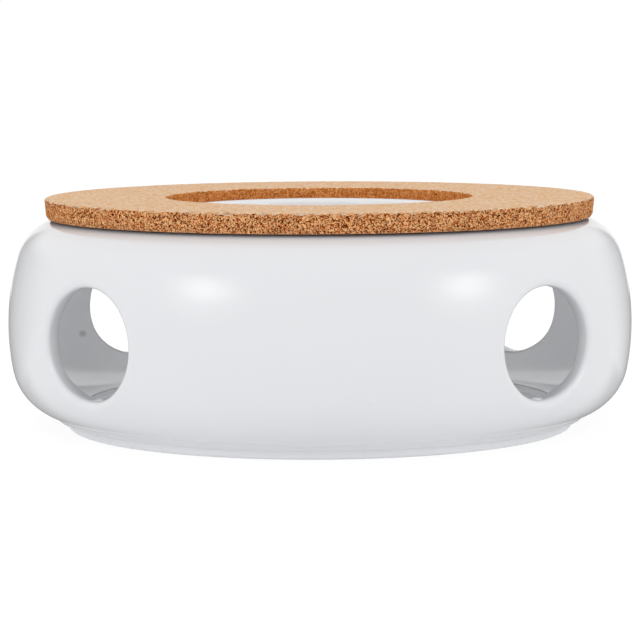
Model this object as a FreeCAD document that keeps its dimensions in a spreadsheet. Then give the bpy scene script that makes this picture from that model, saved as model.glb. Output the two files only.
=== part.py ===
import FreeCAD, Part
import math
import os
from types import SimpleNamespace

import Sketcher

# Teapot warmer: a squat ceramic drum with four round holes in its wall, and a loose cork ring on top.
# The origin is on the table, at the middle of the foot. +Z is up, and the holes look along X and Y.

# Driving dimensions in millimetres, as name: (value, what it is)
SIZES = {
    "belly_radius": (75.0, "widest radius of the drum"),
    "belly_level": (25.0, "height of the widest place"),
    "belly_curve": (59.3, "radius of the side's long curve"),
    "shoulder_curve": (12.2, "radius of the curve from side to seat"),
    "lower_curve": (13.9, "radius of the curve from side to foot"),
    "lower_level": (3.05, "height at which the lower curve would turn level"),
    "wall": (3.8, "thickness of the cast wall"),
    "seat_level": (50.5, "height of the flat seat under the cork"),
    "foot_inset": (14.2, "how far the foot ring stands in from the widest place"),
    "foot_rise": (2.3, "height of the foot ring"),
    "foot_width": (4.8, "width of the ring that stands on the table"),
    "foot_edge": (0.7, "rounding of the foot ring's edges"),
    "step_width": (2.3, "how far the turned step stands out over the foot ring"),
    "step_slope": (1.8, "how far the step's face leans out from bottom to top"),
    "underside_depth": (1.2, "how far the underside is hollowed inside the foot ring"),
    "floor_level": (4.4, "height of the floor inside"),
    "floor_inset": (4.5, "how far the flat floor ends inside the foot ring's outside"),
    "floor_edge": (0.6, "rounding above and below the step round the floor"),
    "ledge_rise": (1.5, "height of the ledge round the floor above it"),
    "ledge_curve": (12.0, "radius of the curve from the ledge up to the side, inside"),
    "bead_radius": (22.0, "radius of the bead that centres a tea light"),
    "bead_size": (1.6, "radius of the bead's round section"),
    "collar_radius": (35.0, "outer radius of the collar inside the cork ring"),
    "collar_rise": (2.3, "height of the collar above the seat"),
    "collar_edge": (1.2, "rounding of the collar's rim and of the mouth below it"),
    "collar_root": (0.7, "rounding where the collar leaves the seat"),
    "hole_radius": (13.3, "radius of the four holes in the wall"),
    "hole_edge_outside": (1.9, "rounding of the holes' edges on the outside"),
    "hole_edge_inside": (0.8, "rounding of the holes' edges on the inside"),
    "cork_inset": (9.0, "how far the cork ring ends in from the widest place"),
    "cork_thickness": (4.8, "thickness of the cork ring"),
    "cork_clearance": (1.5, "gap between the collar and the cork ring"),
    "cork_edge": (0.5, "wear of the cork ring's edges"),
}
HOLE_COUNT = 4

# How far a cutting profile reaches past the face that it opens, in millimetres
OVERRUN = 5.0
# How close a point has to lie to a place to be taken as being there, in millimetres
NEAR = 0.01


class Length:
    """A length in millimetres, with the expression that binds it to the spreadsheet."""

    def __init__(self, value, expression):
        self.value = value
        self.expression = expression

    def __add__(self, other):
        return Length(self.value + other.value, f"{self.expression} + {other.expression}")

    def __sub__(self, other):
        return Length(self.value - other.value, f"{self.expression} - ({other.expression})")


def work_out_lengths():
    """The driving dimensions, and the lengths that follow from them."""
    lengths = {name: Length(value, f"Sizes.{name}") for name, (value, meaning) in SIZES.items()}
    at = SimpleNamespace(**lengths)
    at.zero = Length(0.0, "0")
    at.overrun = Length(OVERRUN, str(OVERRUN))
    at.foot_radius = at.belly_radius - at.foot_inset
    at.foot_inner = at.foot_radius - at.foot_width
    at.step_lower = at.foot_radius + at.step_width
    at.step_upper = at.step_lower + at.step_slope
    at.rim_level = at.seat_level + at.collar_rise
    at.floor_radius = at.foot_radius - at.floor_inset
    at.ledge_level = at.floor_level + at.ledge_rise
    at.ceiling = at.seat_level - at.wall
    at.neck_radius = at.collar_radius - at.wall
    at.cork_radius = at.belly_radius - at.cork_inset
    at.cork_inner = at.collar_radius + at.cork_clearance
    at.cork_top = at.seat_level + at.cork_thickness
    return at


AT = work_out_lengths()


def make_sheet(doc):
    """Write the driving dimensions into the document's spreadsheet."""
    sheet = doc.addObject("Spreadsheet::Sheet", "Sizes")
    for row, (name, (value, meaning)) in enumerate(SIZES.items(), start=1):
        sheet.set(f"A{row}", meaning)
        sheet.set(f"B{row}", str(value))
        sheet.setAlias(f"B{row}", name)
    doc.recompute()


def origin_feature(body, role):
    """The plane or axis of the body's own origin with this role."""
    return next(feature for feature in body.Origin.OriginFeatures if feature.Role == role)


def new_body(doc, name):
    """An empty body whose label names the sub-part."""
    body = doc.addObject("PartDesign::Body", name)
    body.Label = name
    body.Placement = FreeCAD.Placement()
    return body


class Section:
    """A sketch on one of the body's origin planes, drawn as one closed outline."""

    START, END, CENTRE = 1, 2, 3
    ORIGIN = (-1, 1)
    LEVEL_AXIS, UPRIGHT_AXIS = -1, -2

    def __init__(self, body, name, role="XZ_Plane"):
        self.sketch = body.newObject("Sketcher::SketchObject", name)
        self.sketch.AttachmentSupport = (origin_feature(body, role), "")
        self.sketch.MapMode = "FlatFace"
        self.outline = []

    def constrain(self, *terms):
        """Add a constraint."""
        return self.sketch.addConstraint(Sketcher.Constraint(*terms))

    def line(self, start, end):
        """A straight stretch of the outline, level or upright if it is drawn so."""
        first, last = FreeCAD.Vector(*start, 0), FreeCAD.Vector(*end, 0)
        index = self.sketch.addGeometry(Part.LineSegment(first, last))
        if abs(start[1] - end[1]) < NEAR:
            self.constrain("Horizontal", index)
        elif abs(start[0] - end[0]) < NEAR:
            self.constrain("Vertical", index)
        self.outline.append(index)
        return index

    def arc(self, centre, radius, start_angle, end_angle):
        """A round stretch of the outline, anticlockwise about its centre."""
        circle = Part.Circle(FreeCAD.Vector(*centre, 0), FreeCAD.Vector(0, 0, 1), radius)
        index = self.sketch.addGeometry(Part.ArcOfCircle(circle, start_angle, end_angle))
        self.outline.append(index)
        return index

    def join(self, first, second, tangent=False):
        """Join the end of one stretch to the start of the next."""
        kind = "Tangent" if tangent else "Coincident"
        self.constrain(kind, first, self.END, second, self.START)

    def close(self):
        """Join the last stretch to the first."""
        self.join(self.outline[-1], self.outline[0])

    def across(self, geometry, point, length):
        """Hold a point at this distance from the axis."""
        drawn = self.sketch.getPoint(geometry, point).x
        index = self.constrain("DistanceX", *self.ORIGIN, geometry, point, drawn)
        self.sketch.setExpression(f"Constraints[{index}]", length.expression)

    def above(self, geometry, point, length):
        """Hold a point at this height above the table."""
        drawn = self.sketch.getPoint(geometry, point).y
        index = self.constrain("DistanceY", *self.ORIGIN, geometry, point, drawn)
        self.sketch.setExpression(f"Constraints[{index}]", length.expression)

    def radius(self, geometry, length):
        """Hold the radius of an arc or circle."""
        index = self.constrain("Radius", geometry, length.value)
        self.sketch.setExpression(f"Constraints[{index}]", length.expression)

    def finish(self):
        """Give the sketch, or stop if it can't be solved or has a freedom left."""
        name = self.sketch.Name
        if self.sketch.solve() != 0:
            raise RuntimeError(f"{name} can't be solved")
        if not self.sketch.FullyConstrained:
            raise RuntimeError(f"{name} has a freedom left")
        return self.sketch


def side_centres(inset, low_curve, low_level):
    """Centres of the low, belly and shoulder curves, each tangent to the next."""
    belly = (AT.belly_radius.value - AT.belly_curve.value, AT.belly_level.value)

    def inside_belly(curve, level):
        reach = AT.belly_curve.value - inset.value - curve.value
        return belly[0] + math.sqrt(reach**2 - (level - belly[1])**2), level

    low = inside_belly(low_curve, low_level.value + low_curve.value)
    shoulder_level = AT.seat_level.value - AT.shoulder_curve.value
    shoulder = inside_belly(AT.shoulder_curve - inset, shoulder_level)
    return low, belly, shoulder


def angle_from(centre, point):
    """Direction from a centre to a point."""
    return math.atan2(point[1] - centre[1], point[0] - centre[0])


def draw_side(section, inset, low_curve, low_level, start_angle):
    """Draw the low curve given, then the belly and shoulder curves moved in by an inset."""
    low_centre, belly, shoulder = side_centres(inset, low_curve, low_level)
    curves = [low_curve, AT.belly_curve - inset, AT.shoulder_curve - inset]
    low_meeting = angle_from(belly, low_centre)
    high_meeting = angle_from(belly, shoulder)
    low = section.arc(low_centre, low_curve.value, start_angle, low_meeting)
    middle = section.arc(belly, curves[1].value, low_meeting, high_meeting)
    high = section.arc(shoulder, curves[2].value, high_meeting, math.pi / 2)
    section.join(low, middle, tangent=True)
    section.join(middle, high, tangent=True)
    for index, curve in zip((low, middle, high), curves):
        section.radius(index, curve)
    section.above(low, section.CENTRE, low_level + low_curve)

    widest = AT.belly_radius - inset
    ends = FreeCAD.Vector(*belly, 0), FreeCAD.Vector(widest.value, belly[1], 0)
    spoke = section.sketch.addGeometry(Part.LineSegment(*ends), True)
    section.constrain("Coincident", spoke, section.START, middle, section.CENTRE)
    section.constrain("PointOnObject", spoke, section.END, middle)
    section.constrain("Horizontal", spoke)
    section.across(spoke, section.END, widest)
    section.above(spoke, section.END, AT.belly_level)
    return low, high


def draw_outer_form(body):
    """Half section of the outside, from the table up to the collar's rim."""
    section = Section(body, "OuterSection")
    foot, foot_rise = AT.foot_radius.value, AT.foot_rise.value
    seat, collar, rim = AT.seat_level.value, AT.collar_radius.value, AT.rim_level.value
    lower, belly, shoulder = side_centres(AT.zero, AT.lower_curve, AT.lower_level)
    reach = AT.step_upper.value - lower[0]
    step_top = (AT.step_upper.value, lower[1] - math.sqrt(AT.lower_curve.value**2 - reach**2))

    base = section.line((0, 0), (foot, 0))
    ring = section.line((foot, 0), (foot, foot_rise))
    ledge = section.line((foot, foot_rise), (AT.step_lower.value, foot_rise))
    step = section.line((AT.step_lower.value, foot_rise), step_top)
    low, high = draw_side(
        section, AT.zero, AT.lower_curve, AT.lower_level, angle_from(lower, step_top))
    top = section.line((shoulder[0], seat), (collar, seat))
    upright = section.line((collar, seat), (collar, rim))
    cover = section.line((collar, rim), (0, rim))
    axis = section.line((0, rim), (0, 0))

    for first, second in ((base, ring), (ring, ledge), (ledge, step), (step, low)):
        section.join(first, second)
    section.join(high, top, tangent=True)
    for first, second in ((top, upright), (upright, cover), (cover, axis)):
        section.join(first, second)
    section.close()
    section.constrain("Coincident", base, section.START, *section.ORIGIN)
    section.across(base, section.END, AT.foot_radius)
    section.above(ring, section.END, AT.foot_rise)
    section.across(ledge, section.END, AT.step_lower)
    section.across(step, section.END, AT.step_upper)
    section.above(top, section.END, AT.seat_level)
    section.across(upright, section.START, AT.collar_radius)
    section.above(upright, section.END, AT.rim_level)
    return section.finish()


def draw_hollow(body):
    """Half section of the room inside, from the floor up through the neck."""
    section = Section(body, "HollowSection")
    floor, floor_radius = AT.floor_level.value, AT.floor_radius.value
    ledge_level, ceiling, neck = AT.ledge_level.value, AT.ceiling.value, AT.neck_radius.value
    opening = AT.rim_level + AT.overrun
    low_centre, belly, shoulder = side_centres(AT.wall, AT.ledge_curve, AT.ledge_level)

    ground = section.line((0, floor), (floor_radius, floor))
    riser = section.line((floor_radius, floor), (floor_radius, ledge_level))
    ledge = section.line((floor_radius, ledge_level), (low_centre[0], ledge_level))
    low, high = draw_side(section, AT.wall, AT.ledge_curve, AT.ledge_level, -math.pi / 2)
    roof = section.line((shoulder[0], ceiling), (neck, ceiling))
    mouth = section.line((neck, ceiling), (neck, opening.value))
    cover = section.line((neck, opening.value), (0, opening.value))
    axis = section.line((0, opening.value), (0, floor))

    section.join(ground, riser)
    section.join(riser, ledge)
    section.join(ledge, low, tangent=True)
    section.join(high, roof, tangent=True)
    for first, second in ((roof, mouth), (mouth, cover), (cover, axis)):
        section.join(first, second)
    section.close()
    section.constrain("PointOnObject", ground, section.START, section.UPRIGHT_AXIS)
    section.above(ground, section.END, AT.floor_level)
    section.across(ground, section.END, AT.floor_radius)
    section.above(roof, section.END, AT.ceiling)
    section.across(roof, section.END, AT.neck_radius)
    section.above(mouth, section.END, opening)
    return section.finish()


def draw_rectangle(body, name, inner, outer, bottom, top):
    """Half section of a disc, or of a ring if the inner radius isn't zero."""
    section = Section(body, name)
    low, high = (inner.value, bottom.value), (outer.value, top.value)
    below = section.line(low, (high[0], low[1]))
    outside = section.line((high[0], low[1]), high)
    above = section.line(high, (low[0], high[1]))
    inside = section.line((low[0], high[1]), low)
    for first, second in ((below, outside), (outside, above), (above, inside)):
        section.join(first, second)
    section.close()
    section.across(outside, section.START, outer)
    section.above(above, section.START, top)
    if inner is AT.zero:
        section.constrain("PointOnObject", inside, section.END, section.UPRIGHT_AXIS)
    else:
        section.across(inside, section.END, inner)
    if bottom is AT.zero:
        section.constrain("PointOnObject", below, section.START, section.LEVEL_AXIS)
    else:
        section.above(below, section.START, bottom)
    return section.finish()


def draw_circle(body, name, role, across, level, radius):
    """A circle at this distance from the upright axis and this height."""
    section = Section(body, name, role)
    middle = FreeCAD.Vector(across.value, level.value, 0)
    circle = Part.Circle(middle, FreeCAD.Vector(0, 0, 1), radius.value)
    index = section.sketch.addGeometry(circle)
    section.radius(index, radius)
    section.above(index, section.CENTRE, level)
    if across is AT.zero:
        section.constrain("PointOnObject", index, section.CENTRE, section.UPRIGHT_AXIS)
    else:
        section.across(index, section.CENTRE, across)
    return section.finish()


def turn(body, sketch, name, kind):
    """Turn a section once round the axis, to add a solid or to cut one away."""
    feature = body.newObject(f"PartDesign::{kind}", name)
    feature.Profile = sketch
    feature.ReferenceAxis = (sketch, ["V_Axis"])
    feature.Angle = 360.0
    body.Document.recompute()


def must_be_less(body, volume, cut):
    """Stop if a cut has taken nothing away."""
    if body.Shape.Volume >= volume - NEAR:
        raise RuntimeError(f"{cut} has cut nothing")


def cut_by_turning(body, sketch, name):
    """Cut a turned room out of the body."""
    volume = body.Shape.Volume
    turn(body, sketch, name, "Groove")
    must_be_less(body, volume, name)


def pierce_wall(body):
    """Cut one round hole towards +X, and repeat it round the axis."""
    sketch = draw_circle(body, "HoleSection", "YZ_Plane", AT.zero, AT.belly_level, AT.hole_radius)
    volume = body.Shape.Volume
    hole = body.newObject("PartDesign::Pocket", "Hole")
    hole.Profile = sketch
    hole.Reversed = True
    hole.setExpression("Length", (AT.belly_radius + AT.overrun).expression)
    body.Document.recompute()
    must_be_less(body, volume, "Hole")

    volume = body.Shape.Volume
    pattern = body.newObject("PartDesign::PolarPattern", "Holes")
    pattern.Originals = [hole]
    pattern.Axis = (origin_feature(body, "Z_Axis"), [""])
    pattern.Angle = 360.0
    pattern.Occurrences = HOLE_COUNT
    body.Tip = pattern
    body.Document.recompute()
    must_be_less(body, volume, "Holes")


def level_circles(shape, places):
    """Names of the level round edges with these radii and heights."""
    names = []
    for number, edge in enumerate(shape.Edges, start=1):
        if not isinstance(edge.Curve, Part.Circle):
            continue
        for radius, level in places:
            same_radius = abs(edge.Curve.Radius - radius.value) < NEAR
            if same_radius and abs(edge.Curve.Center.z - level.value) < NEAR:
                names.append(f"Edge{number}")
    if len(names) < len(places):
        raise RuntimeError("an edge to be rounded is missing")
    return names


def is_straight(edge):
    """Whether an edge is a straight line, such as the seam along a bore."""
    ends = edge.valueAt(edge.FirstParameter) - edge.valueAt(edge.LastParameter)
    return abs(edge.Length - ends.Length) < NEAR


def lies_round_hole(edge, angle):
    """Whether an edge runs round the hole that looks in this direction."""
    outwards = FreeCAD.Vector(math.cos(angle), math.sin(angle), 0)
    sideways = FreeCAD.Vector(-outwards.y, outwards.x, 0)
    for point in edge.discretize(7):
        from_axis = math.hypot(point.dot(sideways), point.z - AT.belly_level.value)
        if point.dot(outwards) < 0 or abs(from_axis - AT.hole_radius.value) > NEAR:
            return False
    return not is_straight(edge)


def hole_edges(shape, outside):
    """Names of the edges round the holes, on the outside or the inside of the wall."""
    inner_face = AT.belly_radius.value - AT.wall.value + NEAR
    angles = [2 * math.pi * turn_number / HOLE_COUNT for turn_number in range(HOLE_COUNT)]
    names = []
    for number, edge in enumerate(shape.Edges, start=1):
        if not any(lies_round_hole(edge, angle) for angle in angles):
            continue
        farthest = max(math.hypot(point.x, point.y) for point in edge.discretize(7))
        if (farthest > inner_face) == outside:
            names.append(f"Edge{number}")
    return names


def round_edges(body, name, edges, radius):
    """Round the named edges of the body's last feature."""
    last = body.Tip
    fillet = body.newObject("PartDesign::Fillet", name)
    fillet.Base = (last, edges)
    fillet.setExpression("Radius", radius.expression)
    body.Tip = fillet
    body.Document.recompute()


def make_ceramic_body(doc):
    """The cast drum: turned form, room inside, hollowed underside, bead, holes, rounded edges."""
    body = new_body(doc, "ceramic_body")
    turn(body, draw_outer_form(body), "OuterForm", "Revolution")
    cut_by_turning(body, draw_hollow(body), "Room")
    underside = draw_rectangle(
        body, "UndersideSection", AT.zero, AT.foot_inner, AT.zero, AT.underside_depth)
    cut_by_turning(body, underside, "Underside")
    bead = draw_circle(
        body, "BeadSection", "XZ_Plane", AT.bead_radius, AT.floor_level, AT.bead_size)
    turn(body, bead, "Bead", "Revolution")
    pierce_wall(body)

    foot = [(AT.foot_radius, AT.zero), (AT.foot_inner, AT.zero)]
    round_edges(body, "FootEdges", level_circles(body.Shape, foot), AT.foot_edge)
    rims = [
        (AT.collar_radius, AT.rim_level),
        (AT.neck_radius, AT.rim_level),
        (AT.neck_radius, AT.ceiling),
    ]
    round_edges(body, "CollarEdges", level_circles(body.Shape, rims), AT.collar_edge)
    root = [(AT.collar_radius, AT.seat_level)]
    round_edges(body, "CollarRoot", level_circles(body.Shape, root), AT.collar_root)
    steps = [(AT.floor_radius, AT.floor_level), (AT.floor_radius, AT.ledge_level)]
    round_edges(body, "FloorEdges", level_circles(body.Shape, steps), AT.floor_edge)
    outer_edges = hole_edges(body.Shape, outside=True)
    round_edges(body, "HoleEdgesOutside", outer_edges, AT.hole_edge_outside)
    inner_edges = hole_edges(body.Shape, outside=False)
    round_edges(body, "HoleEdgesInside", inner_edges, AT.hole_edge_inside)
    return body


def make_cork_ring(doc):
    """The flat ring of cork that lies on the seat, around the collar."""
    body = new_body(doc, "cork_ring")
    radii = (AT.cork_inner, AT.cork_radius)
    levels = (AT.seat_level, AT.cork_top)
    turn(body, draw_rectangle(body, "CorkSection", *radii, *levels), "CorkForm", "Revolution")
    corners = [(radius, level) for radius in radii for level in levels]
    round_edges(body, "CorkEdges", level_circles(body.Shape, corners), AT.cork_edge)
    return body


def check_document(doc, bodies):
    """Stop if any object failed, or a sub-part's shape is missing or broken."""
    for item in doc.Objects:
        if "Invalid" in item.State or "Error" in item.State:
            raise RuntimeError(f"{item.Name} has failed: {item.State}")
    for body in bodies:
        if body.Shape.isNull() or not body.Shape.isValid():
            raise RuntimeError(f"{body.Label} has no valid shape")
        if len(body.Shape.Solids) != 1:
            raise RuntimeError(f"{body.Label} isn't one solid")


def main():
    doc = FreeCAD.newDocument("TeapotWarmer")
    make_sheet(doc)
    bodies = [make_ceramic_body(doc), make_cork_ring(doc)]
    doc.recompute()
    check_document(doc, bodies)
    os.makedirs("parts", exist_ok=True)
    for body in bodies:
        body.Shape.exportStep(f"parts/{body.Label}.step")
        box = body.Shape.optimalBoundingBox()
        print(f"{body.Label}: {body.Shape.Volume:.0f} mm3, {box.XLength:.2f} x {box.YLength:.2f}"
              f" x {box.ZLength:.2f} mm, z {box.ZMin:.2f} to {box.ZMax:.2f}")


main()
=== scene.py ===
import math

import bmesh
import bpy
from bpy.props import FloatProperty, FloatVectorProperty, IntProperty, PointerProperty
from bpy.types import Operator, Panel, PropertyGroup
from mathutils import Matrix, Quaternion, Vector


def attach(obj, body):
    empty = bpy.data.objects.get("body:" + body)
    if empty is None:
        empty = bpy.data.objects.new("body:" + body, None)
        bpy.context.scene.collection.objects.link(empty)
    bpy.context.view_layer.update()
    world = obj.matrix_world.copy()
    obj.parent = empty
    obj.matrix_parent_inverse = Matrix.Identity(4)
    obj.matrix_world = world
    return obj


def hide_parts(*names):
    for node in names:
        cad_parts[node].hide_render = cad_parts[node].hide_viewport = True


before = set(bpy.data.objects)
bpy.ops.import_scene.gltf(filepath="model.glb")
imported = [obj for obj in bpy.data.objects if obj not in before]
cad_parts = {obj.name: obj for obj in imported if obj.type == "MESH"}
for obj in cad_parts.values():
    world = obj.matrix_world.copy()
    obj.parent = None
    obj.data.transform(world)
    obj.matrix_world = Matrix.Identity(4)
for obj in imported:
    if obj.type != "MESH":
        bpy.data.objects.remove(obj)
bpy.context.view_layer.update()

bl_info = {
    "name": "Teapot Warmer",
    "version": (1, 0, 0),
    "blender": (4, 5, 0),
    "location": "3D View > Sidebar > Warmer",
    "description": "Glazed drum with four holes, a loose cork ring and a small white studio",
    "category": "Object",
}

MM = 0.001
# Holes in the drum's wall, one to each quarter of a turn
HOLES = 4


# Sizes and colours that a user would change

def length(name, millimetres, description):
    """A size shown in the scene's own unit of length."""
    return FloatProperty(
        name=name, description=description, default=millimetres * MM, min=0.0,
        precision=4, unit="LENGTH")


def count(name, number, description):
    """A number of steps that a surface is divided into."""
    return IntProperty(name=name, description=description, default=number, min=3)


def share(name, value, description):
    """A number between none and all."""
    return FloatProperty(
        name=name, description=description, default=value, min=0.0, max=1.0, subtype="FACTOR")


def colour(name, value, description):
    """A linear colour."""
    return FloatVectorProperty(
        name=name, description=description, default=value, size=3, min=0.0, max=1.0,
        subtype="COLOR")


def angle(name, degrees, description):
    """An angle."""
    return FloatProperty(
        name=name, description=description, default=math.radians(degrees), subtype="ANGLE")


class DrumShape(PropertyGroup):
    belly_radius: length("Belly radius", 75.0, "Widest radius of the drum")
    belly_level: length("Belly level", 25.0, "Height of the widest place")
    belly_curve: length("Belly curve", 59.3, "Radius of the side's long curve")
    shoulder_curve: length("Shoulder curve", 12.2, "Radius of the curve from side to seat")
    lower_curve: length("Lower curve", 13.9, "Radius of the curve from side to foot")
    lower_level: length("Lower level", 3.05, "Height where the lower curve would turn level")
    wall: length("Wall", 3.8, "Thickness of the cast wall")
    seat_level: length("Seat level", 50.5, "Height of the flat seat under the cork")
    step_upper: length("Step top radius", 64.9, "Radius where the lower curve ends at the step")
    step_lower: length("Step radius", 63.1, "Radius at the bottom of the step's face")
    step_edge: length("Step edge", 0.35, "Rounding of the step's edges under the glaze")
    foot_radius: length("Foot radius", 60.8, "Outer radius of the foot ring")
    foot_inner: length("Foot inner radius", 56.0, "Inner radius of the foot ring")
    foot_rise: length("Foot rise", 2.3, "Height of the foot ring")
    foot_edge: length("Foot edge", 0.7, "Rounding of the foot ring's edges")
    underside: length("Underside depth", 1.2, "Depth of the hollow inside the foot ring")
    floor_level: length("Floor level", 4.4, "Height of the floor inside")
    floor_radius: length("Floor radius", 56.3, "Radius of the flat floor")
    floor_edge: length("Floor edge", 0.6, "Rounding above and below the step round the floor")
    ledge_level: length("Ledge level", 5.9, "Height of the ledge round the floor")
    ledge_curve: length("Ledge curve", 14.6, "Radius of the curve from the ledge up to the side")
    bead_radius: length("Bead radius", 22.0, "Radius of the bead that centres a tea light")
    bead_size: length("Bead size", 1.6, "Radius of the bead's round section")
    collar_radius: length("Collar radius", 35.0, "Outer radius of the collar")
    collar_rise: length("Collar rise", 2.3, "Height of the collar above the seat")
    collar_edge: length("Collar edge", 1.2, "Rounding of the collar's rim and mouth")
    collar_root: length("Collar root", 0.7, "Rounding where the collar leaves the seat")
    hole_wide: length("Hole half width", 13.85, "Half the width of the holes in the wall")
    hole_high: length("Hole half height", 12.85, "Half the height of the holes in the wall")
    hole_level: length("Hole level", 24.9, "Height of the holes' centres")
    edge_outside: length("Hole edge outside", 1.5, "Width of the holes' outer rounding")
    edge_depth: length("Hole edge depth", 1.15, "Depth of the holes' outer rounding")
    edge_inside: length("Hole edge inside", 0.8, "Rounding of the holes' inner edges")
    steps_across: count("Steps across", 64, "Divisions of a quarter turn")
    steps_up: count("Steps up", 24, "Divisions of the wall beside a hole, from bottom to top")


class CorkShape(PropertyGroup):
    outer_radius: length("Outer radius", 66.0, "Outer radius of the cork ring")
    inner_radius: length("Inner radius", 36.5, "Radius of the hole in the cork ring")
    thickness: length("Thickness", 4.8, "Thickness of the cork ring")
    seat_level: length("Seat level", 50.5, "Height of the ring's underside")
    edge: length("Edge", 0.5, "Wear of the ring's edges")
    taper: length("Taper", 0.45, "How much wider the ring is at its top than at its bottom")
    nick_depth: length("Nick depth", 0.45, "Depth of the nicks along the ring's upper edges")
    grain: length("Grain", 1.0, "Size of the pressed granules")
    pit_depth: length("Pit depth", 0.5, "Depth of the pits that torn granules leave in the cut")
    steps_round: count("Steps round", 640, "Divisions of a full turn")
    steps_section: count("Steps in section", 100, "Divisions round the ring's section")
    seed: IntProperty(name="Seed", description="Pattern of the granules", default=4)


class FinishColours(PropertyGroup):
    glaze: colour("Glaze", (0.85, 0.857, 0.875), "White glaze with a cool cast")
    # Painted light: a whiter glaze for the faces inside the drum, standing in for more light there
    inside_painted_light: colour("Glaze inside", (0.978, 0.980, 0.980), "Thicker glaze inside the drum")
    glaze_speck: colour("Glaze speck", (0.36, 0.34, 0.32), "Specks and pinholes in the glaze")
    bare_clay: colour("Bare clay", (0.71, 0.66, 0.58), "Unglazed ring that stands on the table")
    glaze_roughness: share("Glaze roughness", 0.05, "Roughness of the glaze")
    cork_top: colour("Cork top", (0.925, 0.645, 0.365), "Sanded top of the cork")
    cork_light: colour("Cork light", (1.0, 0.58, 0.27), "Pale granules in the cut edge")
    cork_mid: colour("Cork middle", (0.62, 0.14, 0.018), "Granules of the common tone")
    # The same dark is painted on the ring's underside as shade
    cork_dark: colour("Cork dark", (0.10, 0.010, 0.001), "Bark and pits between the granules")
    cork_hole: colour("Cork hole", (0.84, 0.268, 0.046), "Tint of the cut inside the cork's hole")


class StudioSettings(PropertyGroup):
    camera_turn: angle("Camera turn", 45.8, "Direction of the camera round the drum")
    camera_pitch: angle("Camera pitch", 5.756, "How far the camera looks down")
    camera_roll: angle("Camera roll", -0.3, "How far the camera leans to its side")
    camera_reach: length("Camera reach", 698.5, "Level distance from camera to axis")
    camera_height: length("Camera height", 95.56, "Height of the camera over the table")
    camera_lens: FloatProperty(
        name="Camera lens", description="Focal length, for a frame 36 mm wide",
        default=163.125, min=1.0)
    floor_radius: length("Floor radius", 3000.0, "Radius of the studio floor")
    floor_colour: colour("Floor", (0.86, 0.86, 0.865), "Colour of the studio floor")
    room_light: colour("Room light", (0.695, 0.695, 0.70), "Soft light from all round")
    lamp_power: FloatProperty(
        name="Lamp power", description="Power of the low lamp and the lamp above", default=2.0,
        min=0.0, unit="POWER")
    glow: FloatProperty(
        name="Glow", description="Brightness of the two highlights", default=4.6, min=0.0)
    dusk: FloatProperty(
        name="Dusk", description="Brightness behind the drum in the glaze", default=0.30, min=0.0)


# Node trees

class Value:
    """A node's output socket, so that arithmetic on it adds Math nodes."""

    def __init__(self, net, socket):
        self.net = net
        self.socket = socket

    def math(self, operation, *terms):
        return self.net.add("ShaderNodeMath", {"operation": operation}, list(terms))

    def __add__(self, other):
        return self.math("ADD", self, other)

    def __radd__(self, other):
        return self.math("ADD", other, self)

    def __sub__(self, other):
        return self.math("SUBTRACT", self, other)

    def __rsub__(self, other):
        return self.math("SUBTRACT", other, self)

    def __mul__(self, other):
        return self.math("MULTIPLY", self, other)

    def __rmul__(self, other):
        return self.math("MULTIPLY", other, self)

    def __truediv__(self, other):
        return self.math("DIVIDE", self, other)

    def __rtruediv__(self, other):
        return self.math("DIVIDE", other, self)

    def __pow__(self, other):
        return self.math("POWER", self, other)

    def at_least(self, other):
        return self.math("MAXIMUM", self, other)

    def sine(self):
        return self.math("SINE", self)

    def cosine(self):
        return self.math("COSINE", self)

    def size(self):
        return self.math("ABSOLUTE", self)

    def wrapped(self):
        """The part of the value after its whole turns."""
        return self.math("WRAP", self, 1.0, 0.0)

    def rise(self, start, end):
        """From 0 to 1 as the value goes from start to end, with soft ends."""
        settings = {"interpolation_type": "SMOOTHSTEP"}
        return self.net.add("ShaderNodeMapRange", settings, [self, start, end, 0.0, 1.0])


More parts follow.
